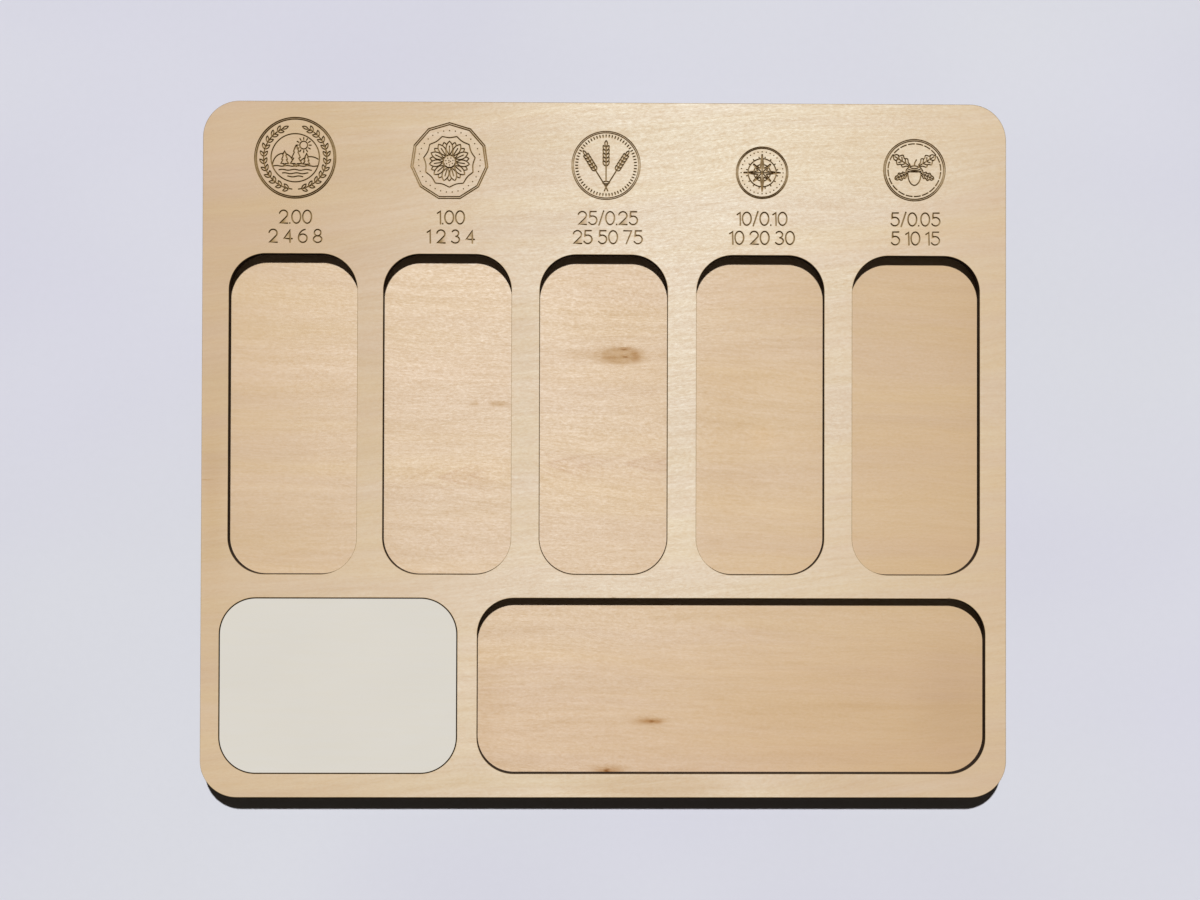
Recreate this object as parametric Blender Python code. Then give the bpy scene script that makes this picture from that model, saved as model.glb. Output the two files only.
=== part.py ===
"""Coin counting board: two sheets of plywood glued one on the other, and a white writing panel.

The upper sheet is cut through with five long wells for sorted coins, a tray for loose coins and
a window for the writing panel. The lower sheet is whole, and is the floor of them all. Above
each well the upper sheet is engraved with a double outline, at the true size of its coin.

Metres, +Z up. The origin is the middle of the underside. +X runs along the row of wells, and
+Y points to the edge with the coin outlines.
"""

import math

import bmesh
import bpy

# Sheets and panel, from the table up
BASE_THICKNESS = 0.0030
GLUE_LINE = 0.0003
FACE_THICKNESS = 0.0027

# Outer corners
BOARD_RADIUS = 0.0127

# Wells, in a row from left to right, with the webs of wood between them
WELL_WIDTH = 0.04445
WELL_LENGTH = 0.11115
WELL_RADIUS = 0.0127
WELL_WEBS = (0.0090, 0.0098, 0.0101, 0.0098)
SIDE_MARGIN = 0.009225

# Coin outlines: diameter, number of corners (0 is a circle), distance between the outline's two
# lines, distance from the well's middle, and height above the line that the coins stand on
COINS = (
    (0.0283, 0, 0.00055, 0.0005, 0.0),
    (0.0272, 11, 0.00064, 0.0005, 0.0001),
    (0.0240, 0, 0.00050, 0.0007, 0.0),
    (0.0182, 0, 0.00045, 0.0005, 0.0006),
    (0.0217, 0, 0.00053, -0.0006, 0.0),
)
OUTLINE_WIDTH = 0.00028
OUTLINE_DEPTH = 0.0003

# Head of the board: room for the numbers below the coins, and bare wood above the largest one
NUMBER_BAND = 0.0191
COIN_HEADROOM = 0.0056

# Lower row: writing panel on the left, tray on the right, with the rails above and below them
MID_RAIL = 0.00815
ROW_LENGTH = 0.0608
FOOT_RAIL = 0.0082
PANEL_MARGIN = 0.0064
PANEL_WINDOW = 0.0823
PANEL_RADIUS = 0.0127
PANEL_GAP = 0.0004
ROW_WEB = 0.0069
TRAY_MARGIN = 0.0073
TRAY_RADIUS = 0.0127

# Smoothness of the curves, and how far a cutter runs past what it cuts
CORNER_STEPS = 12
COIN_STEPS = 48
OVERCUT = 0.0010

# Heights
FACE_BOTTOM = BASE_THICKNESS + GLUE_LINE
FACE_TOP = FACE_BOTTOM + FACE_THICKNESS
PANEL_BOTTOM = BASE_THICKNESS + GLUE_LINE

# Plan of the board
HEAD_BAND = NUMBER_BAND + max(coin[0] for coin in COINS) + COIN_HEADROOM
BOARD_WIDTH = 2 * SIDE_MARGIN + len(COINS) * WELL_WIDTH + sum(WELL_WEBS)
BOARD_LENGTH = HEAD_BAND + WELL_LENGTH + MID_RAIL + ROW_LENGTH + FOOT_RAIL
LEFT = -BOARD_WIDTH / 2
RIGHT = BOARD_WIDTH / 2
FRONT = -BOARD_LENGTH / 2
BACK = BOARD_LENGTH / 2
ROW_FRONT = FRONT + FOOT_RAIL
ROW_BACK = ROW_FRONT + ROW_LENGTH
WELL_FRONT = ROW_BACK + MID_RAIL
WELL_BACK = WELL_FRONT + WELL_LENGTH
PANEL_LEFT = LEFT + PANEL_MARGIN
PANEL_RIGHT = PANEL_LEFT + PANEL_WINDOW
TRAY_LEFT = PANEL_RIGHT + ROW_WEB
TRAY_RIGHT = RIGHT - TRAY_MARGIN


def clear_scene():
    """Removes whatever the scene holds."""
    for item in list(bpy.data.objects):
        bpy.data.objects.remove(item, do_unlink=True)


def material(name, colour, roughness):
    """A plain surface of one colour."""
    made = bpy.data.materials.new(name)
    made.use_nodes = True
    shader = made.node_tree.nodes["Principled BSDF"]
    shader.inputs["Base Color"].default_value = (*colour, 1.0)
    shader.inputs["Roughness"].default_value = roughness
    shader.inputs["Metallic"].default_value = 0.0
    return made


def rounded_rectangle(left, right, front, back, radius):
    """Outline of a rectangle with round corners, counter-clockwise from its right side."""
    radius = min(radius, 0.49 * (right - left), 0.49 * (back - front))
    centres = (
        (right - radius, back - radius),
        (left + radius, back - radius),
        (left + radius, front + radius),
        (right - radius, front + radius),
    )
    outline = []
    for quarter, (x, y) in enumerate(centres):
        for step in range(CORNER_STEPS + 1):
            angle = math.radians(90) * (quarter + step / CORNER_STEPS)
            outline.append((x + radius * math.cos(angle), y + radius * math.sin(angle)))
    return outline


def coin_outline(centre, diameter, corners, inset):
    """Outline of a round coin, or of one with corners and the first corner at the back.

    The inset is measured square to the edge, so that a line between two insets is even."""
    steps = corners or COIN_STEPS
    radius = diameter / 2 - inset / (math.cos(math.pi / corners) if corners else 1.0)
    outline = []
    for step in range(steps):
        angle = math.radians(90) + math.tau * step / steps
        outline.append((centre[0] + radius * math.cos(angle), centre[1] + radius * math.sin(angle)))
    return outline


def raise_faces(form, faces, height):
    """Turns flat faces into a closed solid of that height."""
    lifted = bmesh.ops.extrude_face_region(form, geom=faces, use_keep_orig=True)
    points = [part for part in lifted["geom"] if isinstance(part, bmesh.types.BMVert)]
    bmesh.ops.translate(form, verts=points, vec=(0.0, 0.0, height))
    bmesh.ops.recalc_face_normals(form, faces=form.faces)


def loop_of_edges(form, outline, height):
    """A closed loop of edges through the outline's points."""
    points = [form.verts.new((x, y, height)) for x, y in outline]
    return [form.edges.new((points[i - 1], points[i])) for i in range(len(points))]


def add_plate(form, outline, bottom, top):
    """A plate with that outline between two heights."""
    points = [form.verts.new((x, y, bottom)) for x, y in outline]
    raise_faces(form, [form.faces.new(points)], top - bottom)


def add_ring(form, outer, inner, bottom, top):
    """A thin standing ring between two outlines with as many points."""
    edges = loop_of_edges(form, outer, bottom) + loop_of_edges(form, inner, bottom)
    band = bmesh.ops.bridge_loops(form, edges=edges)
    raise_faces(form, band["faces"], top - bottom)


def make_object(name, form, surface=None):
    """An object from a finished form, with its flat faces flat and its round edges smooth."""
    mesh = bpy.data.meshes.new(name)
    form.to_mesh(mesh)
    form.free()
    mesh.shade_smooth()
    mesh.set_sharp_from_angle(angle=math.radians(30))
    if surface:
        mesh.materials.append(surface)
    made = bpy.data.objects.new(name, mesh)
    bpy.context.scene.collection.objects.link(made)
    return made


def cut(body, cutter):
    """Takes the cutter's shape out of the body."""
    cutter.hide_render = True
    cutter.display_type = "WIRE"
    removal = body.modifiers.new(cutter.name, "BOOLEAN")
    removal.operation = "DIFFERENCE"
    removal.solver = "EXACT"
    removal.object = cutter


def well_lefts():
    """The left side of each well."""
    lefts = [LEFT + SIDE_MARGIN]
    for web in WELL_WEBS:
        lefts.append(lefts[-1] + WELL_WIDTH + web)
    return lefts


def window_cutter():
    """Everything that is cut through the face sheet: the wells, the tray and the panel's window."""
    windows = [
        (left, left + WELL_WIDTH, WELL_FRONT, WELL_BACK, WELL_RADIUS) for left in well_lefts()
    ]
    windows.append((TRAY_LEFT, TRAY_RIGHT, ROW_FRONT, ROW_BACK, TRAY_RADIUS))
    windows.append((PANEL_LEFT, PANEL_RIGHT, ROW_FRONT, ROW_BACK, PANEL_RADIUS))
    form = bmesh.new()
    for window in windows:
        add_plate(form, rounded_rectangle(*window), FACE_BOTTOM - OVERCUT, FACE_TOP + OVERCUT)
    return make_object("window_cutter", form)


def engraving_cutter():
    """The double outline of each coin. The coins stand on one line, above the wells."""
    form = bmesh.new()
    for left, (diameter, corners, spacing, shift, lift) in zip(well_lefts(), COINS):
        reach = diameter / 2 * (math.cos(math.pi / corners) if corners else 1.0)
        centre = (left + WELL_WIDTH / 2 + shift, WELL_BACK + NUMBER_BAND + lift + reach)
        for inset in (0.0, spacing):
            outer = coin_outline(centre, diameter, corners, inset)
            inner = coin_outline(centre, diameter, corners, inset + OUTLINE_WIDTH)
            add_ring(form, outer, inner, FACE_TOP - OUTLINE_DEPTH, FACE_TOP + OVERCUT)
    return make_object("engraving_cutter", form)


def base_sheet(plywood):
    """The whole lower sheet, which is the floor of the wells and of the tray."""
    form = bmesh.new()
    add_plate(form, rounded_rectangle(LEFT, RIGHT, FRONT, BACK, BOARD_RADIUS), 0.0, BASE_THICKNESS)
    return make_object("base_sheet", form, plywood)


def face_sheet(plywood):
    """The upper sheet, cut through with its windows and engraved with the coin outlines."""
    form = bmesh.new()
    outline = rounded_rectangle(LEFT, RIGHT, FRONT, BACK, BOARD_RADIUS)
    add_plate(form, outline, FACE_BOTTOM, FACE_TOP)
    sheet = make_object("face_sheet", form, plywood)
    cut(sheet, window_cutter())
    cut(sheet, engraving_cutter())
    return sheet


def writing_panel(coating):
    """The white panel, let into its window with an even gap and flush with the face sheet."""
    outline = rounded_rectangle(
        PANEL_LEFT + PANEL_GAP,
        PANEL_RIGHT - PANEL_GAP,
        ROW_FRONT + PANEL_GAP,
        ROW_BACK - PANEL_GAP,
        PANEL_RADIUS - PANEL_GAP,
    )
    form = bmesh.new()
    add_plate(form, outline, PANEL_BOTTOM, FACE_TOP)
    return make_object("writing_panel", form, coating)


clear_scene()
base_sheet(material("base_plywood", (0.66, 0.49, 0.33), 0.55))
face_sheet(material("face_plywood", (0.68, 0.51, 0.34), 0.50))
writing_panel(material("white_coating", (0.70, 0.67, 0.60), 0.25))
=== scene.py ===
"""Looks of the coin counting board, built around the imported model.

Lengths are in millimetres in the part's own frame: +X along the row of wells, +Y to the edge with
the coin outlines, and z = 0 at the underside. Each mesh is scaled to metres as it is made.
"""

import math

import bmesh
import bpy
import numpy as np
from mathutils import Matrix, Vector
from mathutils.geometry import delaunay_2d_cdt


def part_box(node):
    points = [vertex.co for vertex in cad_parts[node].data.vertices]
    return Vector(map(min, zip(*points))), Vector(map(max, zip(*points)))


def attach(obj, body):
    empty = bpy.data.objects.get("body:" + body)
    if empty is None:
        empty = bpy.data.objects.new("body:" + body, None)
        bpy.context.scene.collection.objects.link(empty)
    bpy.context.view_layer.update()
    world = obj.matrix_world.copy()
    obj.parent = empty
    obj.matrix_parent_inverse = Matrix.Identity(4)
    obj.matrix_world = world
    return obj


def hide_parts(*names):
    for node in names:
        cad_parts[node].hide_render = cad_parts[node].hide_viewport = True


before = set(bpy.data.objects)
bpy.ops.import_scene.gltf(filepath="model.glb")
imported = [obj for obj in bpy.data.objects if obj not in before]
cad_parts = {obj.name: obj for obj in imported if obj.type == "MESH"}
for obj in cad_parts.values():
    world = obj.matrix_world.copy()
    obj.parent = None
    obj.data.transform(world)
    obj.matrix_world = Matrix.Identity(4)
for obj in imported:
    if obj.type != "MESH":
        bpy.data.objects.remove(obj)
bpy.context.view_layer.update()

MM = 0.001

# Camera, from a fit to the photograph's straight edges, with its tilt in radians
LENS = 36.464
SENSOR = 36.0
CAMERA_PLACE = (-5.44, -3.65, 428.0)
CAMERA_TILT = (-0.00801, 0.00889, -0.00273)

# Light: a key light from the coin edge, a weak even fill, and the sky that the camera and glossy
# surfaces see, from the horizon up
SUN_HEIGHT = 46.0
SUN_WIDTH = 2.5
SUN_SHARE = 0.973
FILL = (0.027, 0.022, 0.016)
SKY = ((0.0, (0.68, 0.68, 0.76)), (0.35, (0.50, 0.50, 0.56)), (0.75, FILL))

# Floor: the size of its grid in metres, and how far it lies below the underside
FLOOR_SIZE = 6.0
FLOOR_DROP = 0.02

# Heights and outer edges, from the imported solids, and the underside of the upper sheet
BASE_LOW, BASE_HIGH = (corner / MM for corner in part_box("base_sheet"))
FACE_LOW, FACE_HIGH = (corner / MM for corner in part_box("face_sheet"))
PANEL_LOW, PANEL_HIGH = (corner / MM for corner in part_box("writing_panel"))
LEFT, FRONT, RIGHT, BACK = FACE_LOW.x, FACE_LOW.y, FACE_HIGH.x, FACE_HIGH.y
TOP = FACE_HIGH.z
SEAM_GAP = 0.03
SEAM = BASE_HIGH.z + SEAM_GAP

# Windows of the upper sheet
BOARD_RADIUS = 12.7
WELL_WIDTH = 44.45
WELL_LENGTH = 111.15
WELL_WEBS = (9.0, 9.8, 10.1, 9.8)
SIDE_MARGIN = 9.225
WELL_RADIUS = 12.7
MID_RAIL = 8.15
ROW_WEB = 6.9
TRAY_MARGIN = 7.3
ROW_RADIUS = 12.7

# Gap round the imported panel, and how much of it the panel fills here
PANEL_GAP = 0.4
PANEL_SWELL = 0.13

# Laser cut: width of the melted arris, how far a wall leans, how far below the top the plies' glue
# lines lie, and the depth and half the height of such a line
ARRIS = 0.05
LEAN = 0.05
PLY_LINES = (0.8, 2.2)
PLY_GROOVE = 0.05
PLY_HALF = 0.04

# Engraving: diameter, corners, distance between the rim's two lines, shift from the well's middle,
# height above the line that the coins stand on, and the rim's stroke
COINS = (
    (28.3, 0, 0.55, 0.5, 0.0, (0.41, 0.42)),
    (27.2, 11, 0.64, 0.5, 0.1, (0.38, 0.39)),
    (24.0, 0, 0.50, 0.7, 0.0, (0.33, 0.31)),
    (18.2, 0, 0.45, 0.5, 0.6, (0.38, 0.42)),
    (21.7, 0, 0.53, -0.6, 0.0, (0.36, 0.36)),
)

# The coins' line above the wells, the width of a rim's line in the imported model, and the grooves'
# depth and the width of their sloping sides
COIN_LINE = 19.1
RIM_WIDTH = 0.28
GROOVE_DEPTH = 0.42
GROOVE_SLOPE = 0.02

# A stroke is a groove's width and how burnt it is
ART_STROKE = (0.34, 0.52)
NUMBER_STROKE = (0.42, 0.47)

# Numbers under the coins: middle of each column and its two lines, height of each line's foot,
# height of a figure, and the gap between figures as a share of their height
NUMBERS = (
    (-107.6, "2.00", "2 4 6 8"),
    (-53.7, "1.00", "1 2 3 4"),
    (0.8, "25/0.25", "25 50 75"),
    (54.5, "10/0.10", "10 20 30"),
    (108.0, "5/0.05", "5 10 15"),
)
NUMBER_FEET = (78.15, 71.50)
NUMBER_HEIGHT = 4.5
NUMBER_GAP = 0.165

# Share of its burn at a distance outside a groove, and the burn at a distance from a cut edge
GROOVE_BURN = ((-GROOVE_SLOPE, 1.0), (0.0, 1.0), (0.05, 0.45), (0.22, 0.0))
EDGE_BURN = ((ARRIS, 0.80), (ARRIS + 0.06, 0.25), (ARRIS + 0.25, 0.0))

# Steps in a round corner, in a round rim, and in the round end of a stroke
CORNER_STEPS = 24
RIM_STEPS = 96
CAP_STEPS = 6

# Smallest spread of the normals at a mitred corner, and the distance within which points of a plan
# or of a mesh become one
MITRE_LIMIT = 0.3
PLAN_SNAP = 0.0001
MESH_SNAP = 0.0005


# Plan shapes


def rounded_rectangle(left, right, front, back, radius, grow):
    """Outline of a rectangle with round corners, grown on all sides."""
    left, right, front, back = left - grow, right + grow, front - grow, back + grow
    radius += grow
    centres = (
        (right - radius, back - radius),
        (left + radius, back - radius),
        (left + radius, front + radius),
        (right - radius, front + radius),
    )
    outline = []
    for quarter, (x, y) in enumerate(centres):
        outline += arc(x, y, radius, radius, 90 * quarter, 90 * quarter + 90, CORNER_STEPS)
    return outline


def outside_by(points, left, right, front, back, radius):
    """How far points lie outside a rounded rectangle; inside it the distance is negative."""
    x = np.abs(points[:, 0] - (left + right) / 2) - (right - left) / 2 + radius
    y = np.abs(points[:, 1] - (front + back) / 2) - (back - front) / 2 + radius
    corner = np.hypot(np.maximum(x, 0.0), np.maximum(y, 0.0))
    return corner + np.minimum(np.maximum(x, y), 0.0) - radius


def wells():
    """The five wells, from left to right."""
    made = []
    left = LEFT + SIDE_MARGIN
    back = PANEL_HIGH.y + PANEL_GAP + MID_RAIL + WELL_LENGTH
    for web in WELL_WEBS + (0.0,):
        made.append((left, left + WELL_WIDTH, back - WELL_LENGTH, back, WELL_RADIUS))
        left += WELL_WIDTH + web
    return made


def lower_row():
    """The panel's window and the tray."""
    front, back = PANEL_LOW.y - PANEL_GAP, PANEL_HIGH.y + PANEL_GAP
    right = PANEL_HIGH.x + PANEL_GAP
    return [
        (PANEL_LOW.x - PANEL_GAP, right, front, back, ROW_RADIUS),
        (right + ROW_WEB, RIGHT - TRAY_MARGIN, front, back, ROW_RADIUS),
    ]


def swollen_panel():
    """The panel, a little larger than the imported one."""
    return (
        PANEL_LOW.x - PANEL_SWELL,
        PANEL_HIGH.x + PANEL_SWELL,
        PANEL_LOW.y - PANEL_SWELL,
        PANEL_HIGH.y + PANEL_SWELL,
        ROW_RADIUS - PANEL_GAP + PANEL_SWELL,
    )


def arc(x, y, across, along, start, end, steps=12):
    """Points on an ellipse, between two angles in degrees."""
    angles = [math.radians(start + (end - start) * step / steps) for step in range(steps + 1)]
    return [(x + across * math.cos(angle), y + along * math.sin(angle)) for angle in angles]


def on_circle(radius, angle):
    """The point at a distance from the origin, at an angle in radians."""
    return (radius * math.cos(angle), radius * math.sin(angle))


# Strokes: a drawing is a list of (points, whether the line closes)


def line(*points):
    """An open line, as a drawing."""
    return [(list(points), False)]


def shape(points):
    """A closed line, as a drawing."""
    return [(points, True)]


def oval(x, y, across, along=None, steps=24):
    """A closed ellipse, as a drawing."""
    return shape(arc(x, y, across, along or across, 0, 360 - 360 / steps, steps - 1))


def moved(drawing, x=0.0, y=0.0, turn=0.0, size=1.0, flip=False):
    """A drawing scaled, mirrored in its Y axis where asked, turned and then put in its place."""
    cosine, sine = size * math.cos(math.radians(turn)), size * math.sin(math.radians(turn))
    made = []
    for points, closed in drawing:
        if flip:
            points = [(-px, py) for px, py in points]
        turned = [(x + px * cosine - py * sine, y + px * sine + py * cosine) for px, py in points]
        made.append((turned, closed))
    return made


def round_the_ring(drawing, count, start=0.0):
    """Copies of a drawing, turned about the origin."""
    made = []
    for copy in range(count):
        made += moved(drawing, turn=start + 360.0 * copy / count)
    return made


def covered(points, outline):
    """Which points lie inside a closed outline."""
    x, y = points[:, 0], points[:, 1]
    inside = np.zeros(len(points), bool)
    for (ax, ay), (bx, by) in zip(outline, outline[1:] + outline[:1]):
        if ay != by:
            crosses = (ay > y) != (by > y)
            inside ^= crosses & (x < (bx - ax) * (y - ay) / (by - ay) + ax)
    return inside


def walked(points, closed, step):
    """The points of a line, with others between them about a step apart."""
    corners = points + points[:1] if closed else points
    fine = []
    for (ax, ay), (bx, by) in zip(corners, corners[1:]):
        pieces = max(1, round(math.hypot(bx - ax, by - ay) / step))
        fine += [(ax + (bx - ax) * n / pieces, ay + (by - ay) * n / pieces) for n in range(pieces)]
    return fine + corners[-1:]


def behind(drawing, masks):
    """The parts of a drawing that no closed line of the masks covers."""
    step, thinning = 0.12, 3
    made = []
    for points, closed in drawing:
        fine = walked(points, closed, step)
        hidden = np.zeros(len(fine), bool)
        for outline, shut in masks:
            if shut:
                hidden |= covered(np.array(fine), outline)
        if not hidden.any():
            made.append((points, closed))
            continue
        run = []
        for point, gone in zip(fine + fine[-1:], list(hidden) + [True]):
            if not gone:
                run.append(point)
                continue
            if len(run) > 2:
                made += line(*run[::thinning], run[-1])
            run = []
    return made


# Numbers


# Figures one unit tall: width and drawing
FIGURES = {
    "0": (0.67, oval(0.335, 0.5, 0.335, 0.5, 32)),
    "1": (0.24, line((0.0, 0.82), (0.24, 1.0), (0.24, 0.0))),
    "2": (0.64, line(*arc(0.32, 0.70, 0.31, 0.30, 168, -32), (0.0, 0.0), (0.64, 0.0))),
    "3": (
        0.63,
        line(*arc(0.30, 0.75, 0.26, 0.25, 150, -80), *arc(0.30, 0.26, 0.32, 0.26, 85, -150)),
    ),
    "4": (0.66, line((0.50, 0.0), (0.50, 1.0), (0.0, 0.28), (0.66, 0.28))),
    "5": (
        0.64,
        line((0.58, 1.0), (0.12, 1.0), (0.07, 0.55), *arc(0.31, 0.33, 0.33, 0.33, 128, -150)),
    ),
    "6": (0.66, oval(0.33, 0.32, 0.33, 0.32) + line(*arc(0.56, 0.32, 0.56, 0.68, 96, 178, 8))),
    "7": (0.62, line((0.0, 1.0), (0.62, 1.0), (0.20, 0.0))),
    "8": (0.64, oval(0.32, 0.755, 0.25, 0.245) + oval(0.32, 0.255, 0.32, 0.255)),
    "/": (0.36, line((0.0, -0.05), (0.36, 1.05))),
    ".": (0.0, line((0.0, 0.0), (0.0, 0.02))),
    " ": (0.16, []),
}


def number(text, middle, foot):
    """A line of figures, centred on its column."""
    made, reach = [], 0.0
    for character in text:
        width, drawing = FIGURES[character]
        made += moved(drawing, x=reach)
        reach += width + NUMBER_GAP
    wide = (reach - NUMBER_GAP) * NUMBER_HEIGHT
    return moved(made, middle - wide / 2, foot, size=NUMBER_HEIGHT)


# Ornaments inside the coins' rims, drawn about each coin's middle


def leaf(length, width, lobes=0.0, depth=0.0, steps=8):
    """A leaf from the origin along +X, with lobes along its sides where they have a depth."""
    side = []
    for step in range(steps + 1):
        share = step / steps
        swell = math.sin(math.pi * share) ** 0.8
        swell *= 1 - depth + depth * math.cos(math.tau * lobes * share)
        side.append((length * share, width / 2 * swell))
    other = [(x, -y) for x, y in reversed(side[1:-1])]
    return shape(side + other)


def dots(radius, count, start=0.0):
    """A ring of dots."""
    dot = 0.03
    return round_the_ring(line((radius, 0.0), (radius + dot, 0.0)), count, start)


def fir(height):
    """A fir tree of three tiers that stands on the origin."""
    tiers = 3
    stem, trunk, skirt = 0.04 * height, 0.13 * height, 0.27 * height
    tier = (height - trunk) / tiers
    side = [(stem, 0.0), (stem, trunk)]
    for level in range(tiers):
        wide = skirt * (1 - 0.8 * level / tiers)
        low = trunk + tier * level
        side += [(wide, low), (0.42 * wide, low + 0.86 * tier)]
    side[-1] = (0.0, height)
    return shape(side + [(-x, y) for x, y in reversed(side[:-1])])


def ripple(foot, wide, rise, pace, start, count):
    """A wavy line across the middle, at a height."""
    places = np.linspace(-wide, wide, count)
    return line(*[(x, foot + rise * math.sin(pace * x + start)) for x in places])


def half_wreath():
    """The right half of a wreath of paired leaves."""
    ring, foot, top = 10.95, -84, 66
    side = line(*arc(0, 0, ring, ring, foot, top, 40))
    for pair in range(11):
        angle = -78 + 13.4 * pair
        for lean in (-34, 34):
            side += moved(leaf(2.2, 0.85), *on_circle(ring, math.radians(angle)), angle + 90 + lean)
    return side + moved(leaf(2.2, 0.85), *on_circle(ring, math.radians(top)), top + 90)


def grove():
    """Fir trees by a lake in front of hills and a sun, inside a wreath of leaves."""
    trees = moved(fir(7.4), 0.3, -3.0) + moved(fir(5.2), -3.7, -2.75) + moved(fir(4.4), 3.9, -2.8)
    land = ripple(-2.85, 7.75, 0.12, 1.7, 0.0, 29)
    land += line(*arc(-4.2, -2.9, 3.7, 4.4, 176, 0, 20))
    land += line(*arc(5.2, -2.9, 4.0, 3.3, 180, 48, 14))
    sun = oval(0, 0, 1.35) + round_the_ring(line((1.95, 0.0), (2.6, 0.0)), 12)
    view = trees + behind(land, trees) + moved(sun, 2.9, 4.4)
    for foot, wide in ((-4.2, 5.6), (-5.4, 4.4), (-6.5, 2.6)):
        view += ripple(foot, wide, 0.16, 1.5, foot, 21)
    wreath = half_wreath()
    return view + oval(0, 0, 8.38, steps=72) + wreath + moved(wreath, flip=True)


def daisy():
    """A double daisy in a scalloped ring, inside a ring of dots."""
    count, steps = 11, 132
    petals = round_the_ring(moved(leaf(4.7, 2.3), 2.35, 0.0), count, 90)
    second = round_the_ring(moved(leaf(4.9, 2.1), 2.0, 0.0), count, 90 + 180 / count)
    veins = round_the_ring(line((2.9, 0.0), (5.3, 0.0)), count, 90)
    eye = oval(0, 0, 2.15, steps=32)
    seeds = dots(1.25, 7, 15) + dots(0.35, 3)
    scallop = []
    for step in range(steps):
        angle = math.tau * step / steps
        dip = 0.75 * abs(math.cos(count / 2 * (angle - math.pi / 2)))
        scallop.append(on_circle(9.0 - dip, angle))
    drawn = petals + behind(second, petals) + veins + eye + seeds
    return drawn + shape(scallop) + dots(10.7, 33, 90)


def wheat():
    """Three ears of wheat tied into a sheaf, inside a milled ring."""
    foot, stalk = -7.6, line((0.0, 0.0), (0.0, -1.4))
    ear = line((0.0, 0.0), (0.0, 8.2))
    for pair in range(5):
        for side in (-1, 1):
            ear += moved(leaf(2.0, 0.9, steps=6), 0.0, 7.4 + 1.35 * pair, 90 - 30 * side)
    ear += moved(leaf(2.2, 0.9, steps=6), 0.0, 14.1, 90)
    sheaf = []
    for turn in (-32, 0, 32):
        sheaf += moved(ear, 0.0, foot, turn, size=0.92 if turn else 1.0)
    stalks = moved(stalk, 0.0, foot, 24) + moved(stalk, 0.0, foot, -24)
    tie = oval(0.0, -6.0, 1.15, 0.42, 16)
    drawn = tie + behind(sheaf, tie) + stalks
    return drawn + round_the_ring(line((9.9, 0.0), (10.6, 0.0)), 60)


def star():
    """A compass star over two fine circles, in a ring of dots."""
    long, short, notch = 6.4, 4.2, 1.6
    tips = []
    for point in range(8):
        angle = math.radians(90 + 45 * point)
        tips.append(on_circle(short if point % 2 else long, angle))
        tips.append(on_circle(notch, angle + math.radians(22.5)))
    facets = []
    for tip in tips[::2]:
        facets += line((0.0, 0.0), tip)
    circles = oval(0, 0, 4.9, steps=48) + oval(0, 0, 2.9, steps=32)
    ticks = round_the_ring(line((4.9, 0.0), (5.5, 0.0)), 16, 11.25)
    return shape(tips) + facets + behind(circles, shape(tips)) + ticks + dots(7.3, 32)


def oak_leaf():
    """A lobed leaf from the origin along +X, with its stalk and veins."""
    length = 7.0
    drawn = leaf(length, 4.0, 3.4, 0.20, 26) + line((-0.9, 0.0), (6.2, 0.0))
    for share in (0.25, 0.45, 0.65):
        for side in (-1, 1):
            drawn += line((length * share, 0.0), (length * share + 0.9, 1.05 * side))
    return drawn


def acorn():
    """An acorn between oak leaves, in a broken ring."""
    nut = shape(arc(0.0, -1.2, 2.3, 4.1, 180, 360, 14) + arc(0.0, -1.2, 2.6, 0.8, 0, 180, 8))
    brim = arc(0.0, -0.8, 3.0, 0.85, 180, 360, 8)[1:-1]
    cap = shape(arc(0.0, -0.8, 3.0, 2.3, 0, 180, 14) + brim)
    stem = line((0.0, 1.5), (0.15, 2.6), (0.7, 3.6))
    scales = []
    for row, wide in ((-0.15, 2.5), (0.45, 2.1), (1.05, 1.4)):
        scales += line(*arc(0.0, row, wide, 0.5, 200, 340, 8))
    right = moved(oak_leaf(), 1.5, 1.4, 32) + moved(oak_leaf(), 2.2, -1.2, -22, size=0.72)
    leaves = right + moved(right, flip=True)
    broken = round_the_ring(line(*arc(0, 0, 9.2, 9.2, 0, 13, 4)), 20)
    return nut + behind(cap, nut) + scales + stem + behind(leaves, nut + cap) + broken


# All that is engraved, as grooves around its lines


def side_share(corners):
    """How far a coin's sides lie from its middle, as a share of its corners' distance."""
    return math.cos(math.pi / corners) if corners else 1.0


def coin_rim(diameter, corners, inset):
    """A rim line of a coin, whose outer edge lies an inset within the coin's edge."""
    radius = diameter / 2 - (inset + RIM_WIDTH / 2) / side_share(corners)
    return moved(oval(0, 0, radius, steps=corners or RIM_STEPS), turn=90)


def engravings():
    """All engraved drawings, as groups of ((width, burn), drawing)."""
    groups = []
    ornaments = (grove, daisy, wheat, star, acorn)
    for (left, right, _, back, _), coin, ornament in zip(wells(), COINS, ornaments):
        diameter, corners, spacing, shift, lift, rim_stroke = coin
        reach = diameter / 2 * side_share(corners)
        x, y = (left + right) / 2 + shift, back + COIN_LINE + lift + reach
        rims = coin_rim(diameter, corners, 0.0) + coin_rim(diameter, corners, spacing)
        groups.append((rim_stroke, moved(rims, x, y)))
        groups.append((ART_STROKE, moved(ornament(), x, y)))
    for middle, *texts in NUMBERS:
        for text, foot in zip(texts, NUMBER_FEET):
            groups.append((NUMBER_STROKE, number(text, middle, foot)))
    return groups


def left_normal(start, end):
    """Unit vector to the left of a direction."""
    dx, dy = end[0] - start[0], end[1] - start[1]
    length = math.hypot(dx, dy) or 1.0
    return (-dy / length, dx / length)


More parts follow.
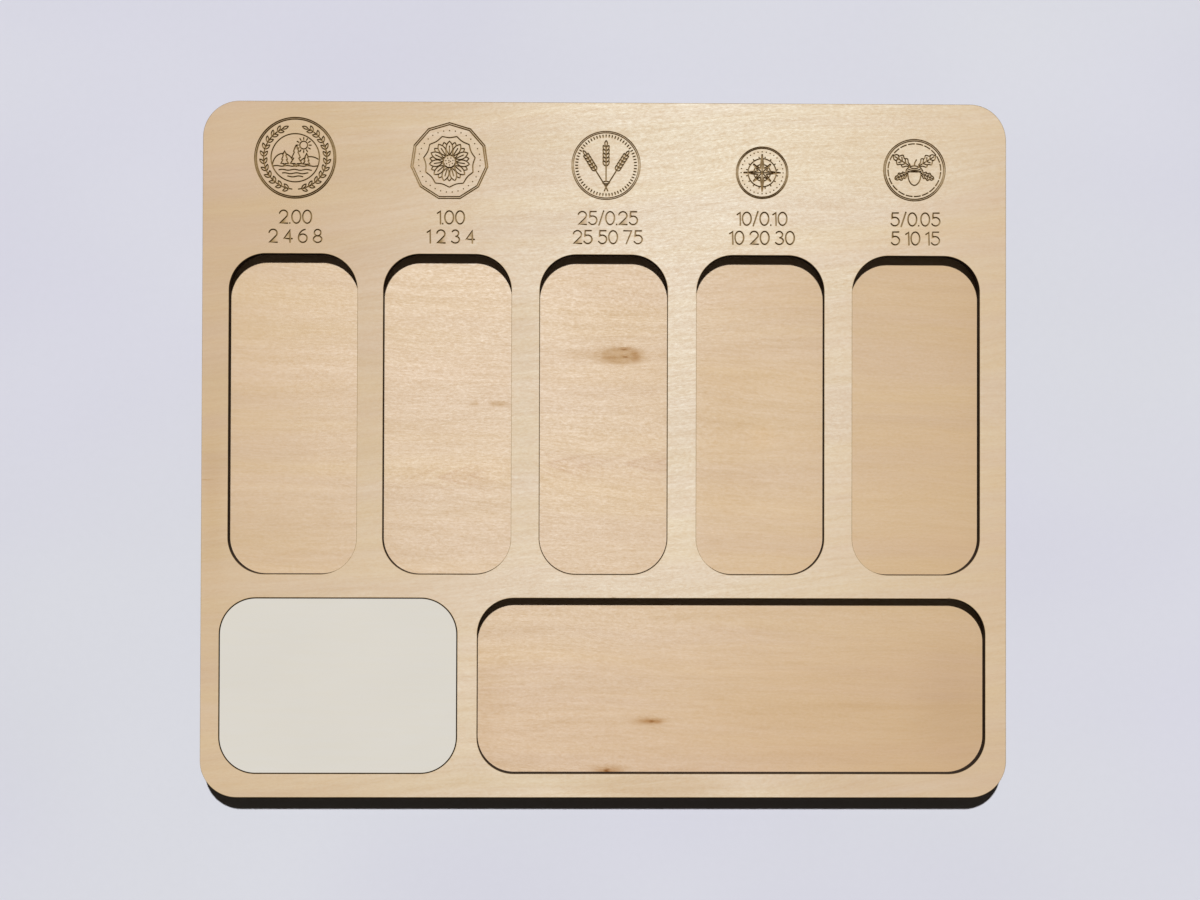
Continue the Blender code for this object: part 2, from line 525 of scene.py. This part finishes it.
def side_line(points, closed, reach):
    """The line at a distance to the left of a line, with mitred corners."""
    made = []
    count = len(points)
    for i, (x, y) in enumerate(points):
        normals = []
        if closed or i > 0:
            normals.append(left_normal(points[i - 1], (x, y)))
        if closed or i < count - 1:
            normals.append(left_normal((x, y), points[(i + 1) % count]))
        nx, ny = np.mean(normals, axis=0)
        spread = max(nx * nx + ny * ny, MITRE_LIMIT)
        made.append((x + reach * nx / spread, y + reach * ny / spread))
    return made


def stroke_loops(points, closed, reach):
    """Closed outlines around a line at a distance."""
    if closed:
        return [side_line(points, True, reach), side_line(points, True, -reach)]
    loop = []
    for way in (points, points[::-1]):
        loop += side_line(way, False, reach)
        nx, ny = left_normal(way[-2], way[-1])
        start = math.degrees(math.atan2(ny, nx))
        loop += arc(*way[-1], reach, reach, start, start - 180, CAP_STEPS)[1:-1]
    return [loop]


def groove_loops(groups):
    """Closed outlines around every engraved line, where its groove and its burn change."""
    loops = []
    for (width, _), drawing in groups:
        for reach, _ in GROOVE_BURN:
            for points, closed in drawing:
                loops += stroke_loops(points, closed, width / 2 + reach)
    return loops


def line_distance(points, drawing):
    """How far points lie from the nearest line of a drawing; far outside it, just a large number."""
    margin, far, batch = 1.0, 9.0, 400
    ends = []
    for line_points, closed in drawing:
        corners = line_points + line_points[:1] if closed else line_points
        ends += [(*a, *b) for a, b in zip(corners, corners[1:])]
    ends = np.array(ends)
    starts, ways = ends[:, :2], ends[:, 2:] - ends[:, :2]
    low, high = ends.reshape(-1, 2).min(0) - margin, ends.reshape(-1, 2).max(0) + margin
    near = np.flatnonzero(((points > low) & (points < high)).all(1))
    nearest = np.full(len(points), far)
    for part in np.array_split(near, len(near) // batch + 1):
        gap = points[part, None] - starts
        share = np.clip((gap * ways).sum(2) / np.maximum((ways * ways).sum(1), 1e-9), 0, 1)
        nearest[part] = np.linalg.norm(gap - share[..., None] * ways, axis=2).min(1)
    return nearest


def engraved(points, groups):
    """How deep the grooves are at points, and how burnt they leave the wood."""
    depth, burn = np.zeros(len(points)), np.zeros(len(points))
    for (width, strength), drawing in groups:
        outside = line_distance(points, drawing) - width / 2
        depth = np.maximum(depth, np.interp(outside, (-GROOVE_SLOPE, 0.0), (GROOVE_DEPTH, 0.0)))
        burn = np.maximum(burn, strength * np.interp(outside, *zip(*GROOVE_BURN)))
    return depth, burn


# Meshes


def triangles(loops):
    """Points and triangles of a plan that holds every closed loop as edges."""
    points, edges = [], []
    for loop in loops:
        first = len(points)
        points += [Vector(point) for point in loop]
        edges += [(first + n, first + (n + 1) % len(loop)) for n in range(len(loop))]
    made = delaunay_2d_cdt(points, edges, [], 0, PLAN_SNAP, False)
    return np.array([tuple(point) for point in made[0]]), np.array(made[2])


def edge_distance(points, outline, windows):
    """How far points on a sheet lie from its nearest cut edge."""
    nearest = -outside_by(points, *outline)
    for window in windows:
        nearest = np.minimum(nearest, outside_by(points, *window))
    return nearest


def cut_profile(low, high):
    """How far back a cut wall stands at each height, from its top arris down."""
    profile = [(ARRIS, high), (0.6 * ARRIS, high - 0.3 * ARRIS), (0.0, high - ARRIS)]
    for depth in PLY_LINES:
        middle = high - depth
        profile += [(0.0, middle + PLY_HALF), (PLY_GROOVE, middle), (0.0, middle - PLY_HALF)]
    profile += [(0.0, low + 0.5 * ARRIS), (ARRIS, low)]
    inner = profile[2:-1]
    leaning = [(inset + LEAN * (height - low) / (high - low), height) for inset, height in inner]
    return profile[:2] + leaning + profile[-1:]


def add_plate(form, loops, height, outline, windows, groups):
    """The flat top or bottom of a sheet up to its arrises, sunk where the grooves are."""
    points, faces = triangles(loops)
    faces = faces[edge_distance(points[faces].mean(1), outline, windows) > ARRIS]
    drop = engraved(points, groups)[0]
    used = {n: form.verts.new((*points[n], height - drop[n])) for n in np.unique(faces)}
    for face in faces:
        form.faces.new([used[n] for n in face]).material_index = 0


def add_wall(form, border, side, profile):
    """A cut wall round a border, with the sheet inside it (side -1) or outside it (side 1)."""
    rings = []
    for inset, height in profile:
        plan = rounded_rectangle(*border, side * inset)
        rings.append([form.verts.new((*point, height)) for point in plan])
    for upper, lower in zip(rings, rings[1:]):
        for n in range(len(upper)):
            face = form.faces.new((upper[n - 1], upper[n], lower[n], lower[n - 1]))
            face.material_index = 1


def add_burn(mesh, outline, windows, high, groups):
    """Writes how burnt each point is, along the cuts and, near the top, in the grooves."""
    places = np.array([tuple(vertex.co) for vertex in mesh.vertices])
    plan, heights = places[:, :2], places[:, 2]
    burn = np.interp(edge_distance(plan, outline, windows), *zip(*EDGE_BURN))
    upper = heights > high - GROOVE_DEPTH - 0.01
    burn = np.where(upper, np.maximum(burn, engraved(plan, groups)[1]), burn)
    mesh.attributes.new("burn", "FLOAT", "POINT").data.foreach_set("value", burn.astype(np.float32))


def sheet(name, outline, windows, low, high, surfaces, groups=()):
    """A cut and engraved sheet: a top and a bottom in surfaces[0], and cut walls in surfaces[1]."""
    borders = [(outline, -1)] + [(window, 1) for window in windows]
    rims = []
    for distance, _ in EDGE_BURN:
        rims += [rounded_rectangle(*border, side * distance) for border, side in borders]
    form = bmesh.new()
    add_plate(form, rims + groove_loops(groups), high, outline, windows, groups)
    add_plate(form, rims, low, outline, windows, ())
    for border, side in borders:
        add_wall(form, border, side, cut_profile(low, high))
    bmesh.ops.remove_doubles(form, verts=form.verts, dist=MESH_SNAP)
    bmesh.ops.recalc_face_normals(form, faces=form.faces)
    mesh = bpy.data.meshes.new(name)
    form.to_mesh(mesh)
    form.free()
    add_burn(mesh, outline, windows, high, groups)
    mesh.transform(Matrix.Scale(MM, 4))
    mesh.shade_smooth()
    mesh.set_sharp_from_angle(angle=math.radians(25))
    for surface in surfaces:
        mesh.materials.append(surface)
    made = bpy.data.objects.new(name, mesh)
    bpy.context.scene.collection.objects.link(made)
    return made


# Materials


class Graph:
    """Adds nodes to a tree and joins them. A value is a socket, a number or a tuple."""

    def __init__(self, tree):
        self.tree = tree

    def add(self, kind, inputs=(), **settings):
        """A node with its settings, and with values in its inputs."""
        node = self.tree.nodes.new("ShaderNode" + kind)
        for name, value in settings.items():
            setattr(node, name, value)
        for socket, value in dict(inputs).items():
            self.feed(node.inputs[socket], value)
        return node

    def feed(self, socket, value):
        """Puts a value in an input."""
        if isinstance(value, bpy.types.NodeSocket):
            self.tree.links.new(value, socket)
        else:
            socket.default_value = value

    def math(self, operation, a, b=0.0, clamp=False):
        """One or two numbers through a Math node."""
        return self.add("Math", {0: a, 1: b}, operation=operation, use_clamp=clamp).outputs[0]

    def times(self, a, b, clamp=False):
        """Product of two numbers."""
        return self.math("MULTIPLY", a, b, clamp)

    def plus(self, a, b, clamp=False):
        """Sum of two numbers."""
        return self.math("ADD", a, b, clamp)

    def minus(self, a, b, clamp=False):
        """The first number less the second."""
        return self.math("SUBTRACT", a, b, clamp)

    def vector(self, operation, a, b=(0.0, 0.0, 0.0)):
        """One or two vectors through a Vector Math node."""
        return self.add("VectorMath", {0: a, 1: b}, operation=operation).outputs[0]

    def length(self, a):
        """Length of a vector."""
        return self.add("VectorMath", {0: a}, operation="LENGTH").outputs["Value"]

    def join(self, x=0.0, y=0.0, z=0.0):
        """A vector from three numbers."""
        return self.add("CombineXYZ", {0: x, 1: y, 2: z}).outputs[0]

    def split(self, a):
        """The three numbers of a vector."""
        return self.add("SeparateXYZ", {0: a}).outputs

    def noise(self, place, scale, detail=2.0, roughness=0.5, shift=0.0):
        """Noise about zero, with so many features a millimetre along each axis."""
        spot = self.add("Mapping", {"Vector": place, "Scale": scale, "Location": (shift,) * 3})
        inputs = {"Vector": spot.outputs[0], "Scale": 1.0, "Detail": detail, "Roughness": roughness}
        return self.minus(self.add("TexNoise", inputs).outputs[0], 0.5)

    def mix(self, share, a, b, blend="MIX"):
        """The first colour mixed with a share of the second, in the way that blend names."""
        first, second = ((*c, 1.0) if isinstance(c, tuple) else c for c in (a, b))
        inputs = {0: share, 6: first, 7: second}
        return self.add("Mix", inputs, data_type="RGBA", blend_type=blend).outputs[2]

    def remap(self, value, low, high):
        """Zero at and beyond the low value, one at and beyond the high one, smooth between."""
        inputs = {"Value": value, "From Min": low, "From Max": high}
        return self.add("MapRange", inputs, interpolation_type="SMOOTHSTEP").outputs[0]

    def ramp(self, value, stops):
        """The colour at a value between stops of (value, colour)."""
        node = self.add("ValToRGB", {0: value})
        elements = node.color_ramp.elements
        while len(elements) < len(stops):
            elements.new(1.0)
        for element, (place, colour) in zip(elements, stops):
            element.position = place
            element.color = (*colour, 1.0)
        return node.outputs[0]

    def shaded(self, colour, shade):
        """A colour times a number."""
        return self.vector("MULTIPLY", colour, self.join(shade, shade, shade))

    def blend(self, layers, **strengths):
        """Sum of named layers, each times its strength."""
        total = 0.0
        for name, strength in strengths.items():
            total = self.plus(total, self.times(layers[name], strength))
        return total


def new_material(name, **constants):
    """A material, its graph, its shader and places in millimetres."""
    made = bpy.data.materials.new(name)
    made.use_nodes = True
    shader = made.node_tree.nodes["Principled BSDF"]
    graph = Graph(made.node_tree)
    for socket, value in constants.items():
        shader.inputs[socket.replace("_", " ")].default_value = value
    place = graph.vector("MULTIPLY", graph.add("TexCoord").outputs["Object"], (1 / MM,) * 3)
    return made, graph, shader, place


def burn_value(graph):
    """The mesh's burn attribute."""
    return graph.add("Attribute", attribute_name="burn").outputs["Fac"]


def smear(graph, place, x, y, length, height, soft=1.0):
    """One at a spot, falling to zero at an ellipse of that length and height around it."""
    offset = graph.vector("SUBTRACT", place, (x, y, 0.0))
    offset = graph.vector("MULTIPLY", offset, (2 / length, 2 / height, 0.0))
    return graph.remap(graph.length(offset), 1.0, 1.0 - soft)


# Knots, stains and broader patches of lighter or darker wood, and on the upper sheet one patch of
# painted sheen: tint, strength, and spots of (x, y, length, height, softness)
TAN = (0.83, 0.74, 0.56)
RED = (0.76, 0.58, 0.36)
DARK = (0.55, 0.38, 0.20)
CHAR = (0.14, 0.11, 0.08)
PALE = (1.18, 1.26, 1.45)
BASE_MARKS = (
    ((0.95, 0.915, 0.90), 1.0, ((0.0, -118.0, 900.0, 200.0),)),
    ((1.02, 0.99, 0.90), 0.8, ((55.2, 4.6, 15.0, 15.0),)),
    ((1.03, 1.04, 1.06), 1.0, ((-99.0, -6.0, 18.0, 22.0),)),
    (
        (0.97, 0.95, 0.89),
        1.0,
        ((5.0, 44.0, 60.0, 44.0), (42.0, 4.0, 44.0, 120.0), (-44.0, -90.0, 32.0, 60.0)),
    ),
    ((0.94, 0.93, 0.95), 1.0, ((122.0, -88.0, 44.0, 60.0),)),
    (
        TAN,
        0.75,
        ((5.0, 32.8, 27.0, 9.4, 0.6), (15.8, -94.7, 20.0, 5.2, 0.9), (1.6, -111.6, 21.0, 5.6)),
    ),
    (TAN, 0.80, ((-45.2, 15.7, 8.0, 2.6), (-36.8, 15.8, 13.0, 3.2, 0.8))),
    (TAN, 0.42, ((5.4, 32.8, 16.0, 7.6, 0.4), (23.0, 33.0, 20.0, 5.0), (-9.0, 33.2, 24.0, 5.0))),
    (TAN, 0.20, ((83.0, -89.5, 110.0, 5.0), (38.4, -32.8, 11.0, 4.0), (110.7, -86.9, 5.0, 1.2))),
    (RED, 0.70, ((16.2, -94.9, 12.0, 2.8), (1.6, -112.6, 15.0, 4.0))),
    (RED, 0.50, ((10.8, 32.6, 5.2, 7.2, 0.9), (7.2, 35.3, 8.5, 1.7), (7.0, 32.4, 4.6, 1.5))),
    (RED, 0.45, ((1.6, 32.1, 9.0, 1.2), (19.4, -95.2, 4.4, 2.4), (58.0, 28.8, 1.2, 0.5))),
    (DARK, 0.60, ((6.5, 34.9, 3.8, 1.0), (6.8, 32.3, 3.0, 1.0), (16.9, -94.9, 3.4, 1.7))),
    (DARK, 0.90, ((1.4, -112.1, 3.0, 2.2),)),
    (PALE, 0.50, ((5.4, 33.8, 9.0, 1.2, 0.9), (5.8, 31.3, 7.0, 1.0, 0.9), (16.9, -93.6, 3.6, 0.7))),
    (PALE, 0.60, ((62.6, -35.9, 2.4, 0.5), (37.8, -29.0, 1.6, 0.5), (75.6, 29.6, 0.8, 0.6))),
)
FACE_MARKS_AND_PAINTED_SHEEN = (
    # Painted sheen: the upper left corner made lighter and bluer
    ((1.05, 1.08, 1.22), 1.0, ((-130.0, 104.0, 60.0, 60.0),)),
    (TAN, 0.55, ((17.0, -116.8, 80.0, 13.0, 0.7),)),
    (TAN, 0.30, ((-136.0, -18.0, 16.0, 90.0), (78.0, -116.8, 70.0, 13.0, 0.7))),
    (TAN, 0.70, ((-138.0, -10.9, 7.0, 0.7),)),
    (CHAR, 1.0, ((2.9, -51.6, 2.8, 0.9), (119.8, -51.6, 1.6, 0.7))),
)

# Pointed growth rings: where the innermost one points, and the slope of its axis
FLAMES = ((-57.2, -10.0, 0.07), (8.3, -5.1, 0.06), (-19.6, -5.1, -0.08))
FLAME_STRENGTH = 0.7

# Wood of each sheet: two tints that alternate, the sheen's tint and strength, how much its flecks
# glint, the fibres' lean along X and its change along Y, the grain's slope in degrees, and a shift
# that gives the sheet a grain of its own
FACE_WOOD = {
    "tints": ((0.642, 0.436, 0.230), (0.630, 0.424, 0.250)),
    "sheen_tint": (0.80, 0.98, 1.0),
    "sheen": 0.47,
    "glint": 0.62,
    "lean": -0.035,
    "lean_change": -0.0002,
    "slope": 5.5,
    "shift": 0.0,
}
BASE_WOOD = {
    "tints": ((0.632, 0.426, 0.219), (0.618, 0.418, 0.237)),
    "sheen_tint": (0.92, 0.98, 1.0),
    "sheen": 0.38,
    "glint": 0.87,
    "lean": 0.030,
    "lean_change": 0.0,
    "slope": -2.0,
    "shift": 40.0,
}

# Roughness of both sheets' wood, and how much glints lower it and burns raise it
WOOD_ROUGHNESS = 0.604
GLINT_ROUGHNESS = 0.20
BURN_ROUGHNESS = 0.3

# Wood from lightly to heavily burnt, and the char of a cut edge from dark to light
SCORCHED = (
    (0.0, (0.56, 0.38, 0.18)),
    (0.45, (0.30, 0.190, 0.073)),
    (0.8, (0.155, 0.088, 0.029)),
    (1.0, (0.108, 0.063, 0.020)),
)
CHARRED = (
    (0.0, (0.010, 0.007, 0.005)),
    (0.5, (0.026, 0.015, 0.009)),
    (1.0, (0.080, 0.045, 0.024)),
)

# The panel's coating, its singed rim, and the floor
COATING_TINTS = ((0.745, 0.708, 0.632), (0.740, 0.708, 0.645))
SINGED = (0.34, 0.20, 0.09)
FLOOR_TINTS = ((0.665, 0.662, 0.762), (0.695, 0.705, 0.765))


def tinted(graph, place, colour, tint_patches):
    """The colour with its tinted patches (knots, stains, painted sheen), and the sheen they leave.
    """
    sheen = 1.0
    for tint, strength, spots in tint_patches:
        cover = 0.0
        for spot in spots:
            cover = graph.math("MAXIMUM", cover, smear(graph, place, *spot))
        cover = graph.times(cover, strength)
        colour = graph.mix(cover, colour, tint, "MULTIPLY")
        loss = min(2.0 * max(1.0 - tint[1], 0.0), 1.0)
        sheen = graph.times(sheen, graph.minus(1.0, graph.times(cover, loss)))
    return colour, sheen


def flame(graph, place, x, y, slope):
    """Pointed growth rings that open to the right, from zero to one."""
    tip, slenderness, pitch = 2.3, 3.6, 11.0
    middle, length, height = 5.0, 44.0, 17.0
    part = graph.split(graph.vector("SUBTRACT", place, (x, y, 0.0)))
    rise = graph.minus(part[1], graph.times(part[0], slope))
    arm = graph.length(graph.join(tip, graph.times(rise, slenderness)))
    depth = graph.plus(graph.minus(part[0], arm), tip)
    ring = graph.remap(graph.math("PINGPONG", depth, pitch / 2), 2.4, 0.4)
    inside = graph.remap(depth, -0.5, 1.5)
    near = smear(graph, place, x + middle, y + middle * slope, length, height)
    return graph.times(near, graph.plus(graph.times(ring, 0.6), graph.times(inside, 0.4)))


def scorch(graph, place, shift):
    """How burnt the wood is, from zero to one: the mesh's burn, unevenly spread."""
    blot = graph.noise(place, (0.9, 0.9, 0.9), 2.0, shift=shift)
    broad = graph.noise(place, (0.05, 0.05, 0.05), 1.0, shift=shift + 2.0)
    uneven = graph.plus(graph.times(blot, 0.9), broad)
    return graph.times(burn_value(graph), graph.plus(1.0, uneven), clamp=True)


def grain_layers(graph, place, slope, shift):
    """Layers of noise along a grain that waves a little, from broad bands to fine flecks."""
    turn = {"Vector": place, "Rotation": (0.0, 0.0, math.radians(-slope))}
    grain = graph.add("Mapping", turn).outputs[0]
    wave = graph.noise(grain, (0.010, 0.030, 0.030), 1.0, shift=shift)
    grain = graph.vector("ADD", grain, graph.join(y=graph.times(wave, 14.0)))
    return {
        "wave": wave,
        "bands": graph.noise(grain, (0.005, 0.055, 0.055), 2.0, shift=shift + 3.0),
        "hue": graph.noise(grain, (0.008, 0.11, 0.11), 2.0, shift=shift + 11.0),
        "streaks": graph.noise(grain, (0.030, 0.50, 0.50), 3.0, 0.6, shift + 7.0),
        "lines": graph.noise(grain, (0.11, 1.3, 1.3), 2.0, 0.6, shift + 13.0),
        "fibres": graph.noise(grain, (0.8, 2.3, 2.3), 2.0, 0.6, shift + 17.0),
        "flecks": graph.noise(grain, (0.55, 1.45, 1.45), 3.0, 0.8, shift + 23.0),
    }


def wood_colour(graph, place, layers, tints, tint_patches, flames):
    """Colour of the unburnt wood with its tinted patches, painted sheen among them, and the sheen
    they leave.
    """
    colour = graph.mix(graph.remap(layers["hue"], -0.22, 0.22), *tints)
    shade = graph.blend(layers, bands=0.11, streaks=0.09, lines=0.07, fibres=0.08)
    colour = graph.shaded(colour, graph.plus(shade, 1.0))
    for point in flames:
        cover = graph.times(flame(graph, place, *point), FLAME_STRENGTH)
        colour = graph.mix(cover, colour, RED, "MULTIPLY")
    wobble = graph.join(graph.blend(layers, streaks=3.0), graph.blend(layers, fibres=0.8))
    return tinted(graph, graph.vector("ADD", place, wobble), colour, tint_patches)


def wood_gloss(graph, shader, layers, look, kept, burn):
    """Sheen and roughness, broken up by flecks, and dulled by marks and burns."""
    shimmer = graph.blend(layers, flecks=1.4, lines=0.6, fibres=1.0)
    shimmer = graph.times(shimmer, look["glint"])
    level = graph.plus(graph.times(shimmer, 0.9), graph.blend(layers, streaks=0.8))
    level = graph.times(graph.plus(level, 1.0), look["sheen"])
    level = graph.math("MAXIMUM", graph.times(level, kept), 0.0)
    dulled = graph.minus(1.0, graph.times(burn, 1.5), clamp=True)
    graph.feed(shader.inputs["Specular IOR Level"], graph.times(level, dulled))
    shader.inputs["Specular Tint"].default_value = (*look["sheen_tint"], 1.0)
    rough = graph.minus(WOOD_ROUGHNESS, graph.times(shimmer, GLINT_ROUGHNESS))
    rough = graph.plus(rough, graph.times(burn, BURN_ROUGHNESS))
    graph.feed(shader.inputs["Roughness"], rough)


def wood_fibres(graph, shader, place, layers, look):
    """Relief of the fibres, their lean along the board, and the way that they run."""
    lean = graph.plus(graph.times(graph.split(place)[1], look["lean_change"]), look["lean"])
    lean = graph.join(graph.plus(lean, graph.blend(layers, bands=0.08)))
    normal = graph.vector("ADD", graph.add("NewGeometry").outputs["Normal"], lean)
    relief = {"Height": layers["fibres"], "Normal": graph.vector("NORMALIZE", normal)}
    bump = graph.add("Bump", {**relief, "Distance": 0.02 * MM, "Strength": 0.5})
    graph.feed(shader.inputs["Normal"], bump.outputs[0])
    across = graph.join(graph.blend(layers, wave=-0.15), 1.0, 0.0)
    graph.feed(shader.inputs["Tangent"], across)


def wood(name, look, tint_patches, flames=()):
    """Pale sanded wood with its grain along X, burnt where the burn attribute says.

    The fibres give a sheen that spreads across them, so the shader's tangent points along Y. The
    fibres' lean moves that sheen along the board, and their flecks break it up."""
    made, graph, shader, place = new_material(name, Anisotropic=0.81, IOR=2.3)
    layers = grain_layers(graph, place, look["slope"], look["shift"])
    colour, kept = wood_colour(graph, place, layers, look["tints"], tint_patches, flames)
    burn = scorch(graph, place, look["shift"])
    colour = graph.mix(graph.remap(burn, 0.0, 0.35), colour, graph.ramp(burn, SCORCHED))
    graph.feed(shader.inputs["Base Color"], colour)
    wood_gloss(graph, shader, layers, look, kept, burn)
    wood_fibres(graph, shader, place, layers, look)
    return made


def burnt_edge(name):
    """Laser-cut edge of plywood: char with upright ribs, browner where a ply shows its side."""
    made, graph, shader, place = new_material(name, Specular_IOR_Level=0.15, Roughness=0.8)
    height = graph.math("DIVIDE", graph.split(place)[2], BASE_HIGH.z)
    middle = graph.math("ABSOLUTE", graph.minus(graph.math("FRACT", height), 0.5))
    core = graph.remap(middle, 0.27, 0.21)
    normal = graph.add("NewGeometry").outputs["Normal"]
    facing = graph.math("ABSOLUTE", graph.split(normal)[1])
    layers = {
        "side_grain": graph.math("ABSOLUTE", graph.minus(facing, core)),
        "ribs": graph.noise(place, (3.2, 3.2, 0.25), 3.0, 0.65),
        "patches": graph.noise(place, (0.12, 0.12, 0.4), 2.0, shift=5.0),
    }
    tone = graph.blend(layers, side_grain=0.35, ribs=0.5, patches=0.8)
    tone = graph.plus(tone, 0.25, clamp=True)
    graph.feed(shader.inputs["Base Color"], graph.ramp(tone, CHARRED))
    bump = graph.add("Bump", {"Height": layers["ribs"], "Distance": 0.06 * MM, "Strength": 0.5})
    graph.feed(shader.inputs["Normal"], bump.outputs[0])
    return made


def coating(name):
    """Off-white dry-erase coating with faint wiped marks, singed at its rim."""
    made, graph, shader, place = new_material(name, Specular_IOR_Level=0.5)
    layers = {
        "cloud": graph.noise(place, (0.03, 0.045, 0.03), 3.0),
        "wiped": graph.noise(place, (0.05, 0.5, 0.5), 3.0, 0.6, 9.0),
    }
    colour = graph.mix(graph.remap(layers["wiped"], -0.25, 0.25), *COATING_TINTS)
    colour = graph.shaded(colour, graph.plus(graph.blend(layers, cloud=0.05, wiped=0.02), 1.0))
    colour = graph.mix(graph.remap(burn_value(graph), 0.3, 0.9), colour, SINGED)
    graph.feed(shader.inputs["Base Color"], colour)
    graph.feed(shader.inputs["Roughness"], graph.plus(0.24, graph.blend(layers, wiped=0.12)))
    return made


def floor_paint(name):
    """Pale, slightly blue matt surface."""
    made, graph, shader, place = new_material(name, Specular_IOR_Level=0.2, Roughness=0.7)
    layers = {
        "cloud": graph.noise(place, (0.006, 0.006, 0.006), 2.0),
        "warmth": graph.noise(place, (0.004, 0.006, 0.006), 2.0, shift=14.0),
        "fine": graph.noise(place, (0.35, 0.35, 0.35), 3.0, 0.6, 4.0),
    }
    shade = graph.plus(graph.blend(layers, cloud=0.12, fine=0.03), 1.0)
    colour = graph.mix(graph.remap(layers["warmth"], -0.2, 0.2), *FLOOR_TINTS)
    graph.feed(shader.inputs["Base Color"], graph.shaded(colour, shade))
    return made


# Pieces


def dress(piece, node):
    """The piece rides on the board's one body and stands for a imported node."""
    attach(piece, "root")
    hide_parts(node)


board = (LEFT, RIGHT, FRONT, BACK, BOARD_RADIUS)
burnt = burnt_edge("burnt_edge")
base_wood = wood("base_wood", BASE_WOOD, BASE_MARKS, FLAMES)
face_wood = wood("face_wood", FACE_WOOD, FACE_MARKS_AND_PAINTED_SHEEN)
white = coating("white_coating")

floor_board = sheet("floor_board", board, (), BASE_LOW.z, BASE_HIGH.z, (base_wood, burnt))
dress(floor_board, "base_sheet")
engraved_face = sheet(
    "engraved_face", board, wells() + lower_row(), SEAM, TOP, (face_wood, burnt), engravings()
)
dress(engraved_face, "face_sheet")
marker_panel = sheet("marker_panel", swollen_panel(), (), PANEL_LOW.z, TOP, (white, burnt))
dress(marker_panel, "writing_panel")


# Stage


def floor():
    """A pale floor that reaches well past every view."""
    form = bmesh.new()
    bmesh.ops.create_grid(form, x_segments=4, y_segments=4, size=FLOOR_SIZE)
    mesh = bpy.data.meshes.new("floor")
    form.to_mesh(mesh)
    form.free()
    mesh.materials.append(floor_paint("floor_paint"))
    made = bpy.data.objects.new("floor", mesh)
    made.location = (0.0, 0.0, -FLOOR_DROP * MM)
    bpy.context.scene.collection.objects.link(made)


def key_light():
    """A sun from the coin edge. With the fill it lights a level surface to just its own colour."""
    data = bpy.data.lights.new("key", "SUN")
    data.energy = math.pi * SUN_SHARE / math.sin(math.radians(SUN_HEIGHT))
    data.angle = math.radians(SUN_WIDTH)
    made = bpy.data.objects.new("key", data)
    made.rotation_euler = (math.radians(SUN_HEIGHT - 90), 0.0, 0.0)
    bpy.context.scene.collection.objects.link(made)


def surroundings():
    """A weak even fill; the camera and glossy surfaces see a pale horizon under a dark ceiling."""
    world = bpy.data.worlds.new("studio")
    bpy.context.scene.world = world
    world.use_nodes = True
    world.node_tree.nodes.clear()
    graph = Graph(world.node_tree)
    fill = graph.add("Background", {"Color": (*FILL, 1.0), "Strength": 1.0})
    height = graph.split(graph.add("TexCoord").outputs["Generated"])[2]
    seen = graph.add("Background", {"Color": graph.ramp(height, SKY), "Strength": 1.0})
    path = graph.add("LightPath").outputs
    direct = graph.math("MAXIMUM", path["Is Camera Ray"], path["Is Glossy Ray"])
    direct = graph.math("MAXIMUM", direct, path["Is Transmission Ray"])
    both = graph.add("MixShader", {0: direct, 1: fill.outputs[0], 2: seen.outputs[0]})
    output = graph.add("OutputWorld", {"Surface": both.outputs[0]})
    output.is_active_output = True


def camera():
    """The photograph's view, from above the middle of the board."""
    data = bpy.data.cameras.new("camera")
    data.sensor_width = SENSOR
    data.lens = LENS
    data.clip_start = 0.01
    data.clip_end = 20.0
    made = bpy.data.objects.new("camera", data)
    turn = Matrix.Identity(3)
    for angle, axis in zip(CAMERA_TILT, "XYZ"):
        turn = turn @ Matrix.Rotation(angle, 3, axis)
    made.matrix_world = Matrix.Translation(Vector(CAMERA_PLACE) * MM) @ turn.transposed().to_4x4()
    bpy.context.scene.collection.objects.link(made)
    bpy.context.scene.camera = made


floor()
key_light()
surroundings()
camera()
bpy.context.scene.view_settings.view_transform = "Standard"
